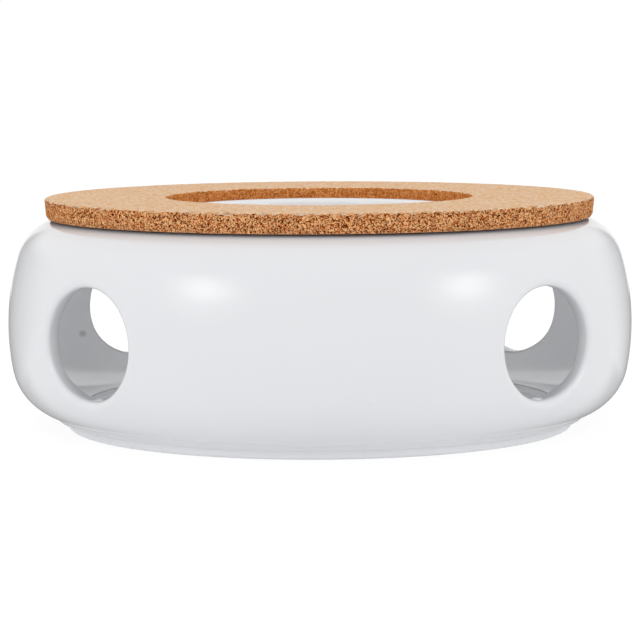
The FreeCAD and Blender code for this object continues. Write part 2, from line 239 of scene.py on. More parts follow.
class Net:
    """A node tree that is being built."""

    def __init__(self, tree):
        self.tree = tree

    def node(self, kind, settings=None, inputs=()):
        """A node of any type: its settings first, then its sockets' values or links."""
        node = self.tree.nodes.new(kind)
        for name, value in (settings or {}).items():
            if name == "stops":
                self.set_stops(node.color_ramp, value)
            else:
                setattr(node, name, value)
        given = inputs.items() if isinstance(inputs, dict) else enumerate(inputs)
        for key, value in given:
            if isinstance(value, Value):
                self.tree.links.new(value.socket, node.inputs[key])
            elif value is not None:
                node.inputs[key].default_value = value
        return node

    def add(self, kind, settings=None, inputs=(), output=0):
        """The same, and gives one of the node's outputs."""
        return Value(self, self.node(kind, settings, inputs).outputs[output])

    def set_stops(self, ramp, stops):
        """Positions and colours along a colour ramp."""
        while len(ramp.elements) < len(stops):
            ramp.elements.new(1.0)
        for element, (position, tone) in zip(ramp.elements, stops):
            element.position = position
            element.color = (*tone, 1.0)

    def mix(self, factor, first, second):
        """A blend of two colours."""
        colours = {0: factor, 6: self.opaque(first), 7: self.opaque(second)}
        return self.add("ShaderNodeMix", {"data_type": "RGBA"}, colours, output=2)

    def opaque(self, tone):
        """A colour as a socket takes it."""
        return tone if isinstance(tone, Value) else (*tone, 1.0)

    def vector(self, operation, *terms, output=0):
        """Vector arithmetic."""
        return self.add("ShaderNodeVectorMath", {"operation": operation}, list(terms), output)

    def split(self, vector):
        """The three parts of a vector."""
        parts = self.node("ShaderNodeSeparateXYZ", None, [vector])
        return [Value(self, socket) for socket in parts.outputs]

    def noise(self, place, scale, detail=2.0, roughness=0.5, output="Fac"):
        """Soft noise, from 0 to 1."""
        inputs = {"Vector": place, "Scale": scale, "Detail": detail, "Roughness": roughness}
        return self.add("ShaderNodeTexNoise", None, inputs, output)

    def cells(self, place, scale, output):
        """Round grains at random places."""
        return self.add("ShaderNodeTexVoronoi", None, {"Vector": place, "Scale": scale}, output)

    def reach(self, across, along):
        """How far a place lies from the upright axis."""
        flat = self.add("ShaderNodeCombineXYZ", None, [across, along, 0.0])
        return self.vector("LENGTH", flat, output="Value")

    def seen(self):
        """1 where the camera looks, also in a reflection, and 0 where light is gathered."""
        path = self.node("ShaderNodeLightPath")
        straight, mirrored, through = (
            Value(self, path.outputs[f"Is {kind} Ray"])
            for kind in ("Camera", "Glossy", "Transmission"))
        return straight.at_least(mirrored).at_least(through)


class Finish(Net):
    """A material that is being built on a Principled surface."""

    def __init__(self, name):
        self.material = bpy.data.materials.new(name)
        self.material.use_nodes = True
        super().__init__(self.material.node_tree)
        self.surface = self.tree.nodes["Principled BSDF"]

    def place(self):
        """Where a point of the piece lies, in millimetres."""
        coordinates = self.add("ShaderNodeTexCoord", None, (), "Object")
        return self.vector("SCALE", coordinates, None, None, 1.0 / MM)

    def set(self, **inputs):
        """Values or links of the surface's sockets, with underscores for spaces."""
        for name, value in inputs.items():
            socket = self.surface.inputs[name.replace("_", " ")]
            if isinstance(value, Value):
                self.tree.links.new(value.socket, socket)
            else:
                socket.default_value = value

    def bump(self, height, strength):
        """Relief from a height in millimetres."""
        inputs = {"Strength": strength, "Distance": MM, "Height": height}
        self.set(Normal=self.add("ShaderNodeBump", None, inputs, "Normal"))


# Finishes

# In a finish, lengths are millimetres, and a pattern's scale is how many of its cells fit into one.
# Where the one large spot in the glaze lies, its dark middle and its faint rim
SPOT = (-68.5, -17.9, 18.3)
SPOT_MIDDLE, SPOT_RIM = 0.35, 1.15
# Heights up to which the painted light round the foot is full, and from which there is none
FOOT_LIGHT_BELOW, FOOT_LIGHT_NO_MORE = 1.5, 6.0
# How deep in a hole the painted shade starts, over what further depth it deepens, and how far round
# the hole it reaches
BORE_SHADE_FROM, BORE_SHADE_OVER, BORE_SHADE_ROUND = 1.8, 3.6, (0.15, 0.9)
# How far the bare ring keeps from the foot's sides, how soft its edges are and how much they wave
BARE_FROM_INNER, BARE_FROM_OUTER, BARE_SOFT, BARE_WAVE = 0.5, 0.6, 0.25, 0.12
BARE_LEVELS = (0.08, 0.16)
# Share of a material's relief that shows
GLAZE_RELIEF = 0.6
CORK_RELIEF = 0.9


def scaled(tone, times):
    """A colour made lighter or darker."""
    return [min(1.0, times * part) for part in tone]


def between(first, second, done):
    """A colour this far from the first to the second."""
    return [(1.0 - done) * a + done * b for a, b in zip(first, second)]


def dots(finish, place, scale, channel, rarity, inner, outer):
    """Soft round dots in the middle of a few cells, which a channel of the cells' colours picks."""
    picked = finish.split(finish.cells(place, scale, "Color"))[channel].rise(rarity, rarity + 0.01)
    distance = finish.cells(place, scale, "Distance")
    return picked * (1.0 - distance.rise(inner, outer))


def glaze_coat(finish, colours, place):
    """Tone of the glaze: a cool white, with painted light round the foot and inside the drum."""
    across, along, level = finish.split(place)
    clouds = finish.noise(place, 0.03, 2.0).rise(0.3, 0.7)
    tone = finish.mix(clouds * 0.5, colours.glaze, scaled(colours.glaze, 0.985))
    # Painted light: the glaze is whiter round the foot, where the step and the foot ring lie in
    # shade
    painted_foot_light = 1.0 - level.rise(FOOT_LIGHT_BELOW, FOOT_LIGHT_NO_MORE)
    tone = finish.mix(painted_foot_light, tone, scaled(colours.glaze, 1.06))
    # Painted light: faces that look into the drum get a whiter glaze, to brighten its dim inside
    normal = finish.split(finish.add("ShaderNodeNewGeometry", None, (), "Normal"))
    inwards = (0.0 - (across * normal[0] + along * normal[1])).rise(5.0, 30.0)
    return finish.mix(inwards, tone, colours.inside_painted_light)


def painted_bore_shade(finish, drum, place):
    """Painted shade in the holes' bores, deeper towards the inside."""
    across, along, level = finish.split(place)
    outwards = across.size().at_least(along.size())
    aside = across.size() + along.size() - outwards
    # Heights are stretched as much as the holes are wider than high
    stretch = drum.hole_wide / drum.hole_high
    off_axis = (aside**2.0 + ((level - drum.hole_level / MM) * stretch)**2.0)**0.5
    in_bore = 1.0 - (off_axis - drum.hole_wide / MM).rise(*BORE_SHADE_ROUND)
    depth = drum.belly_radius / MM - BORE_SHADE_FROM - outwards
    return in_bore * depth.rise(0.0, BORE_SHADE_OVER)


def large_spot(finish, place):
    """The one large spot in the glaze, on the inner wall and drawn out sideways."""
    across, along, level = finish.split(place)
    aside = (along - SPOT[1]) * 0.5
    away = ((across - SPOT[0])**2.0 + aside**2.0 + (level - SPOT[2])**2.0)**0.5
    return 1.0 - away.rise(SPOT_MIDDLE, SPOT_RIM)


def bare_ring(finish, drum, place):
    """Where the foot stands on the table and has no glaze, up to a wavy edge."""
    across, along, level = finish.split(place)
    reach = finish.reach(across, along)
    inner = (reach - (drum.foot_inner / MM + BARE_FROM_INNER)).rise(0.0, BARE_SOFT)
    outer = 1.0 - (reach - (drum.foot_radius / MM - BARE_FROM_OUTER)).rise(0.0, BARE_SOFT)
    wavy_level = level + finish.noise(place, 0.5, 2.0) * BARE_WAVE
    return inner * outer * (1.0 - wavy_level.rise(*BARE_LEVELS))


def white_glaze(colours, drum):
    """Glossy white glaze with faint waves, pinholes and specks, and a bare ring to stand on."""
    finish = Finish("white_glaze")
    place = finish.place()
    tone = glaze_coat(finish, colours, place)
    # Painted shade: the bores of the holes turn greyer towards the inside
    bore_shade_tone = scaled(colours.glaze, 0.3)
    tone = finish.mix(painted_bore_shade(finish, drum, place) * 0.45, tone, bore_shade_tone)

    specks = dots(finish, place, 0.085, 0, 0.93, 0.012, 0.03)
    pinholes = dots(finish, place, 0.21, 1, 0.90, 0.02, 0.045)
    marks = (specks * 0.5).at_least(pinholes * 0.22).at_least(large_spot(finish, place) * 0.5)
    tone = finish.mix(marks, tone, colours.glaze_speck)

    bare = bare_ring(finish, drum, place)
    grit = finish.noise(place, 3.0, 4.0, 0.7)
    clay = finish.mix(grit, scaled(colours.bare_clay, 0.85), colours.bare_clay)
    waves = finish.noise(place, 0.055, 1.0)
    peel = finish.noise(place, 0.7, 2.0)
    finish.set(
        Base_Color=finish.mix(bare, tone, clay),
        Roughness=colours.glaze_roughness + peel * 0.02 + bare * 0.6,
        IOR=1.5)
    relief = waves * 0.05 + peel * 0.0012 - pinholes * 0.02 + bare * grit * 0.03
    finish.bump(relief, GLAZE_RELIEF)
    return finish.material


def sanded_cork(finish, colours, place, grain):
    """Tone of the cork's sanded top: pale, with a few brown specks."""
    granules = finish.split(finish.cells(place, 1.5, "Color"))[0]
    specks = finish.noise(place, 1.4, 3.0, 0.7).rise(0.60, 0.70)
    # Powers of the colour keep its hue, and never pass white
    sanded = finish.mix(
        granules * 0.75 + grain.rise(0.3, 0.7) * 0.25,
        [part**2.1 for part in colours.cork_top],
        [part**0.4 for part in colours.cork_top])
    return finish.mix(specks * 0.5, sanded, colours.cork_mid)


def cork(colours, shape):
    """Pressed cork: fine granules, bark and pits in the cut edges, a paler sanded top, and painted
    shade on the underside.
    """
    finish = Finish("cork")
    place = finish.place()
    warp = finish.noise(place, 0.9, 2.0, output="Color")
    bent = finish.vector("ADD", place, finish.vector("SCALE", warp, None, None, 0.7))

    granules = finish.split(finish.cells(bent, 1.9, "Color"))[0]
    crumbs = finish.split(finish.cells(bent, 4.2, "Color"))[1]
    fibre = finish.noise(bent, 5.5, 2.0, 0.7)
    patches = finish.noise(place, 0.30, 2.0)
    tone = (granules - 0.5) * 0.30 + (crumbs - 0.5) * 0.85 + (fibre - 0.5) * 0.50
    tone = tone + (patches - 0.5) * 0.25 + 0.63
    stops = [
        (0.28, colours.cork_dark),
        (0.48, colours.cork_mid),
        (0.64, between(colours.cork_mid, colours.cork_light, 0.4)),
        (0.84, colours.cork_light),
    ]
    cut = finish.add("ShaderNodeValToRGB", {"stops": stops}, [tone], "Color")
    pits = finish.noise(bent, 2.2, 2.0, 0.6).rise(0.58, 0.66)
    cut = finish.mix(pits * 0.85, cut, colours.cork_dark)
    across, along, _ = finish.split(place)
    hole = shape.inner_radius / MM
    in_hole = 1.0 - finish.reach(across, along).rise(hole + 1.0, hole + 2.0)
    cut = finish.mix(in_hole * 0.55, cut, colours.cork_hole)

    upwards = finish.split(finish.add("ShaderNodeNewGeometry", None, (), "Normal"))[2]
    top = upwards.size().rise(0.55, 0.85)
    # Painted shade: the underside takes the dark cork colour, so the gap between ring and seat
    # looks darker
    painted_underside_shade = (0.0 - upwards).rise(0.6, 0.95)
    top_grain = finish.noise(place, 1.3, 3.0, 0.7)
    sanded = sanded_cork(finish, colours, place, top_grain)
    finish.set(
        Base_Color=finish.mix(painted_underside_shade, finish.mix(top, cut, sanded), colours.cork_dark),
        Roughness=0.9,
        Specular_IOR_Level=0.0)
    relief = (crumbs * 0.12 + fibre * 0.16 - pits * 0.25) * (1.0 - top * 0.8) + top_grain * 0.06
    finish.bump(relief, CORK_RELIEF)
    return finish.material


# The drum

# Heights between which the wall's faces follow the holes, outside and inside
HOLED_OUTSIDE = (7.0 * MM, 45.5 * MM)
HOLED_INSIDE = (8.5 * MM, 44.0 * MM)
# Rows of faces from a hole's rim to the frame round it, and how much they crowd towards the rim
ROWS_OUTSIDE = 16
ROWS_INSIDE = 11
CROWDING = 1.25
# Steps round each of a hole's edges, and through the bore between them
EDGE_STEPS = 8
BORE_STEPS = 4
# Steps along the lower curve to the foot, over the shoulder, under the roof and down to the ledge
FOOT_STEPS = 6
SHOULDER_STEPS = 10
ROOF_STEPS = 8
LEDGE_STEPS = 10
# How far before the step the lower curve ends, in roundings of the step's edge
STEP_ROOM = 1.6
# Roundings where the bead leaves the floor and where the foot ring leaves the underside
BEAD_ROOT = 0.4 * MM
UNDERSIDE_EDGE = 0.4 * MM
LONGEST_FACE = 4.0 * MM
# Points nearer to one another than this are one
WELD = 0.002 * MM


class Side:
    """The drum's side in half section: low, belly and shoulder curves, tangent to one another."""

    def __init__(self, drum, inset, low_curve, low_level):
        belly_reach = drum.belly_radius - drum.belly_curve
        self.belly = (belly_reach, drum.belly_level, drum.belly_curve - inset)
        self.lower = self.tangent(low_curve, low_level + low_curve)
        shoulder_curve = drum.shoulder_curve - inset
        self.shoulder = self.tangent(shoulder_curve, drum.seat_level - drum.shoulder_curve)
        self.low_turn = self.direction(self.lower)
        self.high_turn = self.direction(self.shoulder)
        self.belly_length = self.belly[2] * (self.high_turn - self.low_turn)

    def tangent(self, curve, level):
        """Centre and radius of a curve that touches the belly curve from inside."""
        reach = math.sqrt((self.belly[2] - curve)**2 - (level - self.belly[1])**2)
        return self.belly[0] + reach, level, curve

    def direction(self, arc):
        """Direction in which the belly curve passes into another curve."""
        return math.atan2(arc[1] - self.belly[1], arc[0] - self.belly[0])

    def distance(self, level):
        """How far along the side this height lies, from where the belly curve begins."""
        for arc in (self.lower, self.belly, self.shoulder):
            turn = math.asin(max(-1.0, min(1.0, (level - arc[1]) / arc[2])))
            if arc is self.lower and turn <= self.low_turn:
                return arc[2] * (turn - self.low_turn)
            if arc is self.belly and turn <= self.high_turn:
                return arc[2] * (turn - self.low_turn)
        return self.belly_length + arc[2] * (turn - self.high_turn)

    def point(self, distance):
        """Radius and height of the side this far along it."""
        if distance < 0.0:
            arc, turn = self.lower, self.low_turn + distance / self.lower[2]
        elif distance < self.belly_length:
            arc, turn = self.belly, self.low_turn + distance / self.belly[2]
        else:
            beyond = distance - self.belly_length
            arc, turn = self.shoulder, self.high_turn + beyond / self.shoulder[2]
        return arc[0] + arc[2] * math.cos(turn), arc[1] + arc[2] * math.sin(turn)

    def stretch(self, start, end, steps):
        """Points along the side between two distances."""
        return [self.point(start + (end - start) * step / steps) for step in range(steps + 1)]


def rounded(corners, steps=5):
    """A path in half section, from corners that each have a radius, a height and a rounding."""
    path = []
    for index, (reach, level, rounding) in enumerate(corners):
        corner = Vector((reach, level))
        if rounding == 0.0:
            path.append(tuple(corner))
            continue
        before = (Vector(corners[index - 1][:2]) - corner).normalized()
        after = (Vector(corners[index + 1][:2]) - corner).normalized()
        half = before.angle(after) / 2.0
        centre = corner + (before + after).normalized() * (rounding / math.sin(half))
        first = corner + before * (rounding / math.tan(half)) - centre
        last = corner + after * (rounding / math.tan(half)) - centre
        sweep = first.angle_signed(last)
        for step in range(steps + 1):
            spoke = first.copy()
            spoke.rotate(Matrix.Rotation(-sweep * (step / steps), 2))
            path.append(tuple(centre + spoke))
    return path


def divided(path, longest):
    """The same path with its long straight parts divided."""
    out = [path[0]]
    for start, end in zip(path, path[1:]):
        parts = max(1, math.ceil(math.dist(start, end) / longest))
        for part in range(1, parts + 1):
            done = part / parts
            out.append(tuple(a + (b - a) * done for a, b in zip(start, end)))
    return out


class Shell:
    """Points and faces of a surface, gathered row by row."""

    def __init__(self):
        self.points = []
        self.faces = []

    def row(self, points):
        """Add a row of points and give their numbers."""
        first = len(self.points)
        self.points.extend(points)
        return list(range(first, len(self.points)))

    def band(self, first, second):
        """Faces between two closed rows of as many points."""
        for here, before in zip(range(len(first)), range(-1, len(first) - 1)):
            self.faces.append((first[before], first[here], second[here], second[before]))

    def rows(self, several):
        """Closed rows with faces between them."""
        numbers = [self.row(points) for points in several]
        for first, second in zip(numbers, numbers[1:]):
            self.band(first, second)
        return numbers

    def fan(self, ring, centre):
        """Faces from a closed row to one point."""
        middle = self.row([centre])[0]
        for here, before in zip(range(len(ring)), range(-1, len(ring) - 1)):
            self.faces.append((ring[before], ring[here], middle))

    def mesh(self, name):
        """One closed mesh with its faces pointing outwards."""
        mesh = bpy.data.meshes.new(name)
        mesh.from_pydata(self.points, [], self.faces)
        work = bmesh.new()
        work.from_mesh(mesh)
        bmesh.ops.remove_doubles(work, verts=work.verts, dist=WELD)
        bmesh.ops.recalc_face_normals(work, faces=work.faces)
        if any(not edge.is_manifold for edge in work.edges):
            raise RuntimeError(f"{name} isn't closed")
        work.to_mesh(mesh)
        work.free()
        mesh.shade_smooth()
        return mesh


def quarter_turns(x, y, z, quarter):
    """A point turned by this many quarters about the upright axis."""
    for _ in range(quarter):
        x, y = -y, x
    return x, y, z


def turned_ring(reach, level, steps):
    """A level ring of points, with as many steps in each quarter."""
    ring = []
    for quarter in range(HOLES):
        for step in range(steps):
            turn = math.pi / 2 * (step / steps - 0.5)
            ring.append(quarter_turns(
                reach * math.cos(turn), reach * math.sin(turn), level, quarter))
    return ring


class HoleCut:
    """One hole through the wall towards +X, with its rounded edges."""

    def __init__(self, drum, outside, inside):
        self.drum = drum
        self.outside = outside
        self.inside = inside

    def bore(self, turn):
        """How far the bore lies from the hole's axis in this direction."""
        drum = self.drum
        return 1.0 / math.hypot(math.cos(turn) / drum.hole_wide, math.sin(turn) / drum.hole_high)

    def depth(self, side, reach, turn):
        """How far out the side stands at this distance and direction from the hole's axis."""
        level = self.drum.hole_level + reach * math.sin(turn)
        radius = side.point(side.distance(level))[0]
        return math.sqrt(radius**2 - (reach * math.cos(turn))**2)

    def edge(self, side, wide, deep, turn, outwards):
        """Points from the bore round to the side, as (distance from the hole's axis, depth).

        They lie on an ellipse. Outwards is 1 for the outer edge and -1 for the inner one.
        """
        reach = self.bore(turn) + wide
        # How steeply the side falls away there, over a small length
        small = 0.05 * MM
        ahead = self.depth(side, reach + small, turn)
        slope = (ahead - self.depth(side, reach - small, turn)) / (2 * small)
        centre = self.depth(side, reach, turn) - outwards * math.hypot(wide * slope, deep)
        last = math.atan2(outwards * deep, -outwards * wide * slope)
        first = math.pi * outwards
        points = []
        for step in range(EDGE_STEPS + 1):
            spoke = first + (last - first) * step / EDGE_STEPS
            points.append((reach + wide * math.cos(spoke), centre + deep * math.sin(spoke)))
        contact = points[-1][0]
        points[-1] = (contact, self.depth(side, contact, turn))
        return points

    def section(self, turn):
        """All points through the wall at this direction: outer edge, bore, inner edge."""
        drum = self.drum
        outer = self.edge(self.outside, drum.edge_outside, drum.edge_depth, turn, 1)
        inner = self.edge(self.inside, drum.edge_inside, drum.edge_inside, turn, -1)
        start, end = outer[0][1], inner[0][1]
        bore = [
            (self.bore(turn), start + (end - start) * step / BORE_STEPS)
            for step in range(1, BORE_STEPS)]
        return outer[::-1] + bore + inner

    def place(self, reach, depth, turn):
        """A point of the cut in the drum's own frame."""
        return depth, reach * math.cos(turn), self.drum.hole_level + reach * math.sin(turn)


def frame_round_hole(low, high, across, up):
    """Directions from the hole's axis, and the places they lead to on the frame round it."""
    # The frame's corners lie this far above and below the level through the hole's axis
    corner = math.radians(32.0)
    half = math.pi / 4
    runs = [
        (math.pi + corner, 2 * math.pi - corner, (-half, low), (half, low), across),
        (-corner, corner, (half, low), (half, high), up),
        (corner, math.pi - corner, (half, high), (-half, high), across),
        (math.pi - corner, math.pi + corner, (-half, high), (-half, low), up),
    ]
    out = []
    for first, last, start, end, steps in runs:
        for step in range(steps):
            done = step / steps
            spot = tuple(a + (b - a) * done for a, b in zip(start, end))
            out.append((first + (last - first) * done, spot))
    return out


def wall_round_hole(side, rim, spots, rings):
    """Rows of points on the side, from a hole's rim out to the frame round it."""
    starts = [(math.atan2(y, x), side.distance(z)) for x, y, z in rim]
    rows = []
    for ring in range(1, rings + 1):
        done = (ring / rings)**CROWDING
        row = []
        for (turn, distance), (far_turn, far_distance) in zip(starts, spots):
            angle_here = turn + (far_turn - turn) * done
            reach, level = side.point(distance + (far_distance - distance) * done)
            row.append((reach * math.cos(angle_here), reach * math.sin(angle_here), level))
        rows.append(row)
    return rows


def add_holed_wall(shell, drum, outside, inside, outer_span, inner_span):
    """The side, outside and inside, with the holes through it."""
    cut = HoleCut(drum, outside, inside)
    across, up = drum.steps_across, drum.steps_up
    outer_frame = frame_round_hole(*outer_span, across, up)
    inner_frame = frame_round_hole(*inner_span, across, up)
    turns = [turn for turn, spot in outer_frame]
    sections = [cut.section(turn) for turn in turns]
    through = []
    for step in range(len(sections[0])):
        through.append([cut.place(*section[step], turn) for section, turn in zip(sections, turns)])
    outer_spots = [spot for turn, spot in outer_frame]
    inner_spots = [spot for turn, spot in inner_frame]
    outer = wall_round_hole(outside, through[0], outer_spots, ROWS_OUTSIDE)
    inner = wall_round_hole(inside, through[-1], inner_spots, ROWS_INSIDE)
    rows = outer[::-1] + through + inner
    for quarter in range(HOLES):
        shell.rows([[quarter_turns(*point, quarter) for point in row] for row in rows])


def bead_section(drum):
    """Half section of the floor's bead, from outside it to inside it."""
    size, root = drum.bead_size, BEAD_ROOT
    spread = math.sqrt((size + root)**2 - root**2)
    lean = math.atan2(root, spread)
    root_steps, crown_steps = 3, 8
    roots = []
    for side in (1, -1):
        path = []
        for step in range(root_steps + 1):
            turn = -math.pi / 2 - (math.pi / 2 - lean) * step / root_steps
            path.append((drum.bead_radius + side * (spread + root * math.cos(turn)),
                         drum.floor_level + root + root * math.sin(turn)))
        roots.append(path)
    crown = []
    for step in range(1, crown_steps):
        turn = lean + (math.pi - 2 * lean) * step / crown_steps
        crown.append((drum.bead_radius + size * math.cos(turn),
                      drum.floor_level + size * math.sin(turn)))
    return roots[0] + crown + roots[1][::-1]


def foot_path(drum, outside, start):
    """Half section from the holed wall down over the step and the foot to the middle."""
    step_reach = drum.step_upper - outside.lower[0]
    step_level = outside.lower[1] - math.sqrt(outside.lower[2]**2 - step_reach**2)
    end = outside.distance(step_level) + drum.step_edge * STEP_ROOM
    return outside.stretch(start, end, FOOT_STEPS) + rounded([
        (*outside.point(end), 0.0),
        (drum.step_upper, step_level, drum.step_edge),
        (drum.step_lower, drum.foot_rise, drum.step_edge),
        (drum.foot_radius, drum.foot_rise, drum.step_edge),
        (drum.foot_radius, 0.0, drum.foot_edge),
        (drum.foot_inner, 0.0, drum.foot_edge),
        (drum.foot_inner, drum.underside, UNDERSIDE_EDGE),
        (0.0, drum.underside, 0.0)])[1:]


def neck_path(drum, outside, inside, start, end):
    """Half section from the holed wall over the shoulder, seat and collar, and back inside."""
    seat_end = outside.belly_length + outside.shoulder[2] * (math.pi / 2 - outside.high_turn)
    roof_start = inside.belly_length + inside.shoulder[2] * (math.pi / 2 - inside.high_turn)
    neck = drum.collar_radius - drum.wall
    rim = drum.seat_level + drum.collar_rise
    roof_level = drum.seat_level - drum.wall
    collar = rounded([
        (outside.shoulder[0], drum.seat_level, 0.0),
        (drum.collar_radius, drum.seat_level, drum.collar_root),
        (drum.collar_radius, rim, drum.collar_edge),
        (neck, rim, drum.collar_edge),
        (neck, roof_level, drum.collar_edge),
        (inside.shoulder[0], roof_level, 0.0)])[1:-1]
    shoulder = outside.stretch(start, seat_end, SHOULDER_STEPS)
    return shoulder + collar + inside.stretch(roof_start, end, ROOF_STEPS)


def floor_path(drum, inside, start):
    """Half section from the holed wall down over the ledge and the floor to its middle."""
    ledge_start = inside.lower[2] * (-math.pi / 2 - inside.low_turn)
    on_floor = drum.floor_radius - 5 * MM
    path = inside.stretch(start, ledge_start, LEDGE_STEPS) + rounded([
        (inside.lower[0], drum.ledge_level, 0.0),
        (drum.floor_radius, drum.ledge_level, drum.floor_edge),
        (drum.floor_radius, drum.floor_level, drum.floor_edge),
        (on_floor, drum.floor_level, 0.0)])[1:]
    return path + bead_section(drum) + [(0.0, drum.floor_level)]


def make_drum(drum):
    """The glazed drum as one closed mesh."""
    outside = Side(drum, 0.0, drum.lower_curve, drum.lower_level)
    inside = Side(drum, drum.wall, drum.ledge_curve, drum.ledge_level)
    outer_low, outer_high = [outside.distance(level) for level in HOLED_OUTSIDE]
    inner_low, inner_high = [inside.distance(level) for level in HOLED_INSIDE]
    shell = Shell()
    add_holed_wall(shell, drum, outside, inside, (outer_low, outer_high), (inner_low, inner_high))
    for path, closed in (
            (foot_path(drum, outside, outer_low), True),
            (neck_path(drum, outside, inside, outer_high, inner_high), False),
            (floor_path(drum, inside, inner_low), True)):
        path = divided(path, LONGEST_FACE)
        middle = path.pop() if closed else None
        numbers = shell.rows(
            [turned_ring(reach, level, drum.steps_across) for reach, level in path])
        if closed:
            shell.fan(numbers[-1], (0.0, 0.0, middle[1]))
    return shell.mesh("drum")


# The cork ring

# How much the steps round the section crowd together on the cut edges, from none to 1
CUT_CROWDING = 0.72
CORK_WELD = 0.005 * MM


def cork_tree(material):
    """Geometry Nodes that turn the ring's section round the axis and tear pits into its edges."""
    tree = bpy.data.node_groups.new("cork_ring_form", "GeometryNodeTree")
    sockets = (
        ("Outer Radius", "Float", "DISTANCE"), ("Inner Radius", "Float", "DISTANCE"),
        ("Thickness", "Float", "DISTANCE"), ("Seat Level", "Float", "DISTANCE"),
        ("Edge", "Float", "DISTANCE"), ("Taper", "Float", "DISTANCE"),
        ("Grain", "Float", "DISTANCE"), ("Pit Depth", "Float", "DISTANCE"),
        ("Nick Depth", "Float", "DISTANCE"), ("Steps Round", "Int", "NONE"),
        ("Steps In Section", "Int", "NONE"), ("Seed", "Int", "NONE"))
    for name, kind, subtype in sockets:
        socket = tree.interface.new_socket(
            name, in_out="INPUT", socket_type=f"NodeSocket{kind}")
        if kind == "Float":
            socket.subtype = subtype
    tree.interface.new_socket("Ring", in_out="OUTPUT", socket_type="NodeSocketGeometry")
    net = Net(tree)
    given = net.node("NodeGroupInput")
    size = {name: Value(net, given.outputs[name]) for name, kind, subtype in sockets}

    # A flat sheet that is rolled up both ways, round the axis and round the section
    sheet = net.add("GeometryNodeMeshGrid", None, {
        "Size X": 1.0, "Size Y": 1.0,
        "Vertices X": size["Steps Round"] + 1, "Vertices Y": size["Steps In Section"] + 1}, "Mesh")
    across, along, _ = net.split(net.add("GeometryNodeInputPosition"))
    turn = (across + 0.5) * (2 * math.pi)
    width = size["Outer Radius"] - size["Inner Radius"]
    section = net.add("GeometryNodeCurvePrimitiveQuadrilateral", {"mode": "RECTANGLE"}, {
        "Width": width, "Height": size["Thickness"]})
    section = net.add("GeometryNodeFilletCurve", {"mode": "POLY"}, {
        "Curve": section, "Count": 5, "Radius": size["Edge"], "Limit Radius": True})
    # The steps crowd together on the two cut edges, where the pits are
    round_section = along + 0.5
    cut_at = 1.0 - 0.5 * size["Thickness"] / (width + size["Thickness"]) / 2.0
    crowd = ((round_section - cut_at) * (4 * math.pi)).sine() * (CUT_CROWDING / (4 * math.pi))
    done = (round_section - crowd).wrapped()
    sample = net.add("GeometryNodeSampleCurve", {"mode": "FACTOR", "use_all_curves": True}, {
        "Curves": section, "Factor": done}, "Position")
    out, up, _ = net.split(sample)
    lean = size["Taper"] * (up / size["Thickness"]) * (out / width + 0.5)
    reach = (size["Outer Radius"] + size["Inner Radius"]) * 0.5 + out + lean
    level = size["Seat Level"] + size["Thickness"] * 0.5 + up
    place = net.add(
        "ShaderNodeCombineXYZ", None, [reach * turn.cosine(), reach * turn.sine(), level])
    ring = net.add("GeometryNodeSetPosition", None, {"Geometry": sheet, "Position": place})
    ring = net.add("GeometryNodeMergeByDistance", None, {"Geometry": ring, "Distance": CORK_WELD})

    # Pits and torn granules, always inwards
    normal = net.add("GeometryNodeInputNormal")
    here = net.add("GeometryNodeInputPosition")
    grains = net.vector("SCALE", here, None, None, 1.0 / size["Grain"])
    # Each seed takes its granules from another place of the noise
    shift = net.add("ShaderNodeCombineXYZ", None, [size["Seed"] * 7.3, size["Seed"] * 3.1, 0.0])
    grains = net.vector("ADD", grains, shift)
    facing = net.split(normal)[2]
    on_cut = 1.0 - facing.size().rise(0.75, 0.98)
    on_top = facing.rise(0.5, 0.95)
    torn = net.noise(grains, 0.75, 3.0, 0.65).rise(0.53, 0.72)
    rough = net.noise(grains, 1.7, 2.0, 0.6)
    uneven = net.noise(grains, 0.12, 1.0)
    at_edge = on_cut * facing.rise(0.1, 0.5)
    nicks = at_edge * net.noise(grains, 0.55, 2.0).rise(0.50, 0.62) * size["Nick Depth"]
    worn = on_cut * (0.0 - facing).rise(0.1, 0.6) * size["Edge"] * 0.8
    depth = on_cut * (torn + rough * 0.35 + uneven * 0.5) + on_top * rough * 0.10
    depth = depth * size["Pit Depth"] + nicks + worn
    offset = net.vector("SCALE", normal, None, None, depth * -1.0)
    ring = net.add("GeometryNodeSetPosition", None, {"Geometry": ring, "Offset": offset})
    ring = net.add("GeometryNodeSetShadeSmooth", None, {"Geometry": ring})
    ring = net.add("GeometryNodeRealizeInstances", None, {"Geometry": ring})
    ring = net.add("GeometryNodeSetMaterial", None, {"Geometry": ring, "Material": material})
    net.node("NodeGroupOutput", None, [ring])
    return tree


def make_cork_mesh(shape, material):
    """The cork ring as a plain mesh, from its evaluated modifier."""
    tree = cork_tree(material)
    values = {
        "Outer Radius": shape.outer_radius, "Inner Radius": shape.inner_radius,
        "Thickness": shape.thickness, "Seat Level": shape.seat_level, "Edge": shape.edge,
        "Taper": shape.taper, "Grain": shape.grain, "Pit Depth": shape.pit_depth,
        "Nick Depth": shape.nick_depth, "Steps Round": shape.steps_round,
        "Steps In Section": shape.steps_section, "Seed": shape.seed}
    blank = bpy.data.objects.new("cork_blank", bpy.data.meshes.new("cork_blank"))
    bpy.context.scene.collection.objects.link(blank)
    modifier = blank.modifiers.new("form", "NODES")
    modifier.node_group = tree
    for item in tree.interface.items_tree:
        if item.in_out == "INPUT":
            modifier[item.identifier] = values[item.name]
    evaluated = blank.evaluated_get(bpy.context.evaluated_depsgraph_get())
    mesh = bpy.data.meshes.new_from_object(evaluated)
    blank.modifiers.remove(modifier)
    bpy.data.objects.remove(blank)
    if not mesh.polygons:
        raise RuntimeError("the cork ring came out empty")
    return mesh


# The studio

# Where the lamps and screens look
MIDDLE = Vector((0.0, 0.0, 0.03))
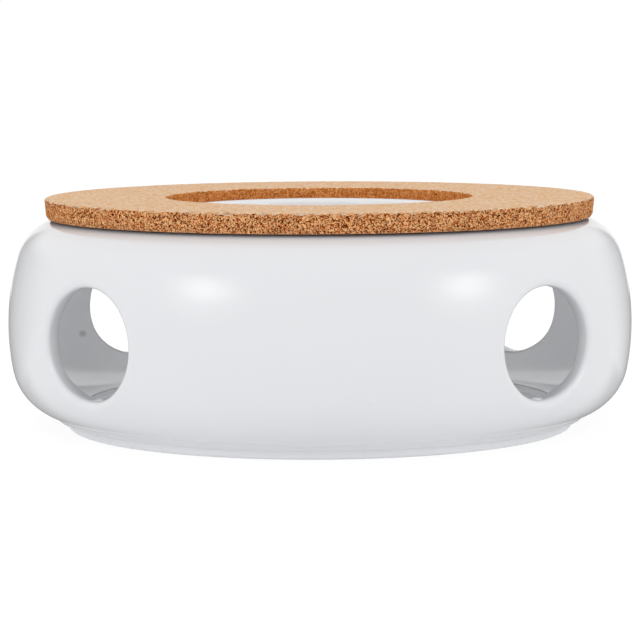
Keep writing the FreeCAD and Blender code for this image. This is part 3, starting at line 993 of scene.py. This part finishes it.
# Turn and rise from the camera's side in degrees, distance and width in metres, share of the power
LAMPS = {
    "lamp_left": (-70.0, 10.0, 1.1, 0.30, 0.75),
    "lamp_right": (74.0, 10.0, 1.1, 0.30, 0.75),
    "lamp_low": (0.0, 3.0, 1.2, 0.5, 1.0),
    "lamp_above": (0.0, 80.0, 1.4, 1.0, 1.0),
}
# Turn and rise from the camera's side in degrees, distance, half width and half height in metres
GLOWS = {
    "glow_left": (-42.2, 19.0, 1.1, 0.47, 0.33),
    "glow_right": (54.3, 18.1, 1.1, 0.47, 0.36),
}
# Size of a highlight's core within its haze, and its share of the brightness
CORE_WIDE, CORE_HIGH, CORE_SHARE = 0.62, 0.42, 0.65
# Radii and heights of the dusk's bowl
DUSK_SECTION = [
    (reach * MM, level * MM)
    for reach, level in ((52.0, 0.4), (150.0, 0.4), (600.0, 0.4), (600.0, 125.0), (600.0, 250.0))]
# How much of the floor is plain white to the camera, and how bright: the rest takes the shadow
FLOOR_WHITE = 0.75
FLOOR_GLOW = 1.14
# Light goes through the holes and from wall to wall many times before it comes out again
BOUNCES = 12


def place_camera(studio):
    """The camera at the photograph's viewing angle."""
    data = bpy.data.cameras.new("camera")
    data.lens = studio.camera_lens
    data.sensor_width = 36.0
    data.clip_start, data.clip_end = 0.05, 20.0
    camera = bpy.data.objects.new("camera", data)
    bpy.context.scene.collection.objects.link(camera)
    turn = studio.camera_turn
    camera.location = (
        studio.camera_reach * math.sin(turn), -studio.camera_reach * math.cos(turn),
        studio.camera_height)
    level = Vector((-math.sin(turn), math.cos(turn), 0.0))
    look = level * math.cos(studio.camera_pitch)
    look.z = -math.sin(studio.camera_pitch)
    camera.rotation_mode = "QUATERNION"
    lean = Quaternion((0.0, 0.0, 1.0), studio.camera_roll)
    camera.rotation_quaternion = look.to_track_quat("-Z", "Y") @ lean
    bpy.context.scene.camera = camera


def direction_from(studio, turn, rise):
    """A direction from the drum, turned and raised from the camera's side, in degrees."""
    around = studio.camera_turn + math.radians(turn)
    rise = math.radians(rise)
    return Vector((
        math.sin(around) * math.cos(rise), -math.cos(around) * math.cos(rise), math.sin(rise)))


def face_drum(thing, away, distance):
    """Put a lamp or a screen this far from the drum, looking at it."""
    thing.location = MIDDLE + away * distance
    thing.rotation_mode = "QUATERNION"
    thing.rotation_quaternion = (-away).to_track_quat("-Z", "Y")


def place_lamp(studio, name, turn, rise, distance, size, power):
    """A soft lamp that looks at the drum and leaves the highlights to the screens."""
    data = bpy.data.lights.new(name, "AREA")
    data.shape = "DISK"
    data.size = size
    data.energy = power
    lamp = bpy.data.objects.new(name, data)
    bpy.context.scene.collection.objects.link(lamp)
    face_drum(lamp, direction_from(studio, turn, rise), distance)
    lamp.visible_glossy = False


def show_in_glaze(screen):
    """Keep a screen for reflections alone."""
    screen.visible_camera = False
    screen.visible_diffuse = False
    screen.visible_transmission = False
    screen.visible_shadow = False
    bpy.context.scene.collection.objects.link(screen)


def light_screen(name):
    """An unlit finish whose surface is built by the caller."""
    finish = Finish(name)
    finish.tree.nodes.remove(finish.surface)
    return finish


def fill_surface(finish, shader):
    """Use this shader as the material's surface."""
    output = finish.tree.nodes["Material Output"]
    finish.tree.links.new(shader.socket, output.inputs["Surface"])


def place_glow(studio, name, turn, rise, distance, wide, high):
    """The highlight of a front lamp: a wide bright middle in a haze that is gone at the rim."""
    finish = light_screen(name)
    across, along, _ = finish.split(finish.place())
    across, along = across / (wide / MM), along / (high / MM)
    core = 1.0 - (((across / CORE_WIDE)**2.0 + (along / CORE_HIGH)**2.0)**0.5).rise(0.0, 1.0)
    haze = 1.0 - ((across**2.0 + along**2.0)**0.5).rise(0.0, 1.0)
    clear = finish.add("ShaderNodeBsdfTransparent")
    bright = finish.add("ShaderNodeEmission", None, {"Strength": studio.glow})
    share_bright = core * CORE_SHARE + haze * (1.0 - CORE_SHARE)
    fill_surface(finish, finish.add("ShaderNodeMixShader", None, [share_bright, clear, bright]))
    corners = [(-wide, -high, 0.0), (wide, -high, 0.0), (wide, high, 0.0), (-wide, high, 0.0)]
    mesh = bpy.data.meshes.new(name)
    mesh.from_pydata(corners, [], [(0, 1, 2, 3)])
    mesh.materials.append(finish.material)
    screen = bpy.data.objects.new(name, mesh)
    face_drum(screen, direction_from(studio, turn, rise), distance)
    show_in_glaze(screen)


def dusk_share(finish):
    """How much of the dusk shows at each place of its bowl, in millimetres from the drum's foot."""
    across, along, level = finish.split(finish.place())
    reach = finish.reach(across, along)
    # How far out from the drum's flank a place lies, for each millimetre behind the flank
    outwards = (across.size() - 70.0) / along.at_least(0.5)
    # The left flank darkens over a wider band than the right one
    wider = 1.0 - 0.35 * (1.0 - across.rise(-40.0, 40.0))
    behind = (1.0 - (outwards * wider).rise(0.25, 1.35)) * along.rise(-25.0, 5.0)
    # The far middle stays light, so that the very rim of the drum does
    far_middle = reach.rise(410.0, 470.0) * (1.0 - outwards.rise(0.24, 0.34))
    behind = behind * (1.0 - far_middle)
    # On the table the dusk goes on round both ends of the foot, and fades out in front
    round_ends = (along - across.size() + 93.0).rise(-12.0, 12.0) * along.rise(-60.0, -38.0)
    on_table = (0.35 + reach.rise(61.5, 64.5) * 0.6) * (1.0 - reach.rise(90.0, 160.0))
    return behind.at_least(round_ends * on_table) * (1.0 - level.rise(110.0, 250.0))


def place_dusk(studio):
    """A low bowl round the foot and behind the drum that darkens the glaze towards its outline."""
    finish = light_screen("dusk")
    clear = finish.add("ShaderNodeBsdfTransparent")
    dim = finish.add("ShaderNodeEmission", None, {"Strength": studio.dusk})
    share_dim = dusk_share(finish)
    fill_surface(finish, finish.add("ShaderNodeMixShader", None, [share_dim, clear, dim]))
    columns = 72
    turns = [math.radians(360.0 / columns * column) for column in range(columns)]
    shell = Shell()
    shell.rows([
        [(reach * math.cos(turn), reach * math.sin(turn), level) for turn in turns]
        for reach, level in DUSK_SECTION])
    mesh = bpy.data.meshes.new("dusk")
    mesh.from_pydata(shell.points, [], shell.faces)
    mesh.materials.append(finish.material)
    screen = bpy.data.objects.new("dusk", mesh)
    screen.rotation_euler.z = studio.camera_turn
    show_in_glaze(screen)


def make_world(studio):
    """Soft light from all round, and plain white wherever the camera or a reflection sees it."""
    world = bpy.data.worlds.new("studio")
    bpy.context.scene.world = world
    world.use_nodes = True
    net = Net(world.node_tree)
    net.tree.nodes.clear()
    tone = net.mix(net.seen(), studio.room_light, (1.0, 1.0, 1.0))
    light = net.add("ShaderNodeBackground", None, {"Color": tone, "Strength": 1.0})
    net.node("ShaderNodeOutputWorld", None, {"Surface": light})


def floor_finish(studio):
    """Pale matt floor that keeps the drum's shadow and is white elsewhere to the camera."""
    finish = light_screen("studio_floor")
    matt = finish.add("ShaderNodeBsdfDiffuse", None, {"Color": (*studio.floor_colour, 1.0)})
    white = finish.add("ShaderNodeEmission", None, {"Strength": FLOOR_GLOW})
    share_white = finish.seen() * FLOOR_WHITE
    fill_surface(finish, finish.add("ShaderNodeMixShader", None, [share_white, matt, white]))
    return finish.material


def make_floor(studio):
    """A round floor under the drum."""
    mesh = bpy.data.meshes.new("studio_floor")
    work = bmesh.new()
    bmesh.ops.create_circle(work, cap_ends=True, segments=96, radius=studio.floor_radius)
    work.to_mesh(mesh)
    work.free()
    floor = bpy.data.objects.new("studio_floor", mesh)
    floor.data.materials.append(floor_finish(studio))
    bpy.context.scene.collection.objects.link(floor)


# Operators and panel

def show_piece(name, mesh, node):
    """Put a finished mesh in the scene in place of its node."""
    piece = bpy.data.objects.new(name, mesh)
    bpy.context.scene.collection.objects.link(piece)
    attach(piece, "root")
    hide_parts(node)


class WARMER_OT_drum(Operator):
    """Make the glazed drum with its four holes"""
    bl_idname = "warmer.drum"
    bl_label = "Glazed Drum"

    def execute(self, context):
        drum = context.scene.warmer_drum
        mesh = make_drum(drum)
        mesh.materials.append(white_glaze(context.scene.warmer_colours, drum))
        show_piece("glazed_drum", mesh, "ceramic_body")
        return {"FINISHED"}


class WARMER_OT_cork(Operator):
    """Make the cork ring that lies on the seat"""
    bl_idname = "warmer.cork"
    bl_label = "Cork Ring"

    def execute(self, context):
        shape = context.scene.warmer_cork
        material = cork(context.scene.warmer_colours, shape)
        mesh = make_cork_mesh(shape, material)
        show_piece("pressed_cork", mesh, "cork_ring")
        return {"FINISHED"}


class WARMER_OT_studio(Operator):
    """Make the floor, the lamps, the surroundings and the camera"""
    bl_idname = "warmer.studio"
    bl_label = "Studio"

    def execute(self, context):
        studio = context.scene.warmer_studio
        context.scene.view_settings.view_transform = "Standard"
        context.scene.cycles.diffuse_bounces = BOUNCES
        make_floor(studio)
        make_world(studio)
        place_camera(studio)
        for name, (*placing, part) in LAMPS.items():
            place_lamp(studio, name, *placing, part * studio.lamp_power)
        for name, placing in GLOWS.items():
            place_glow(studio, name, *placing)
        place_dusk(studio)
        return {"FINISHED"}


class WARMER_PT_panel(Panel):
    """Steps that build the teapot warmer"""
    bl_idname = "WARMER_PT_panel"
    bl_label = "Teapot Warmer"
    bl_space_type = "VIEW_3D"
    bl_region_type = "UI"
    bl_category = "Warmer"

    def draw(self, context):
        for step in (WARMER_OT_drum, WARMER_OT_cork, WARMER_OT_studio):
            self.layout.operator(step.bl_idname)
        for name in ("warmer_drum", "warmer_cork", "warmer_colours", "warmer_studio"):
            box = self.layout.box()
            group = getattr(context.scene, name)
            for field in group.bl_rna.properties:
                if field.identifier not in ("rna_type", "name"):
                    box.prop(group, field.identifier)


GROUPS = {
    "warmer_drum": DrumShape,
    "warmer_cork": CorkShape,
    "warmer_colours": FinishColours,
    "warmer_studio": StudioSettings,
}
CLASSES = (
    *GROUPS.values(), WARMER_OT_drum, WARMER_OT_cork, WARMER_OT_studio, WARMER_PT_panel)


def register():
    for item in CLASSES:
        bpy.utils.register_class(item)
    for name, group in GROUPS.items():
        setattr(bpy.types.Scene, name, PointerProperty(type=group))


def unregister():
    for name in GROUPS:
        delattr(bpy.types.Scene, name)
    for item in reversed(CLASSES):
        bpy.utils.unregister_class(item)


def main():
    register()
    bpy.ops.warmer.drum()
    bpy.ops.warmer.cork()
    bpy.ops.warmer.studio()


if __name__ == "__main__":
    main()
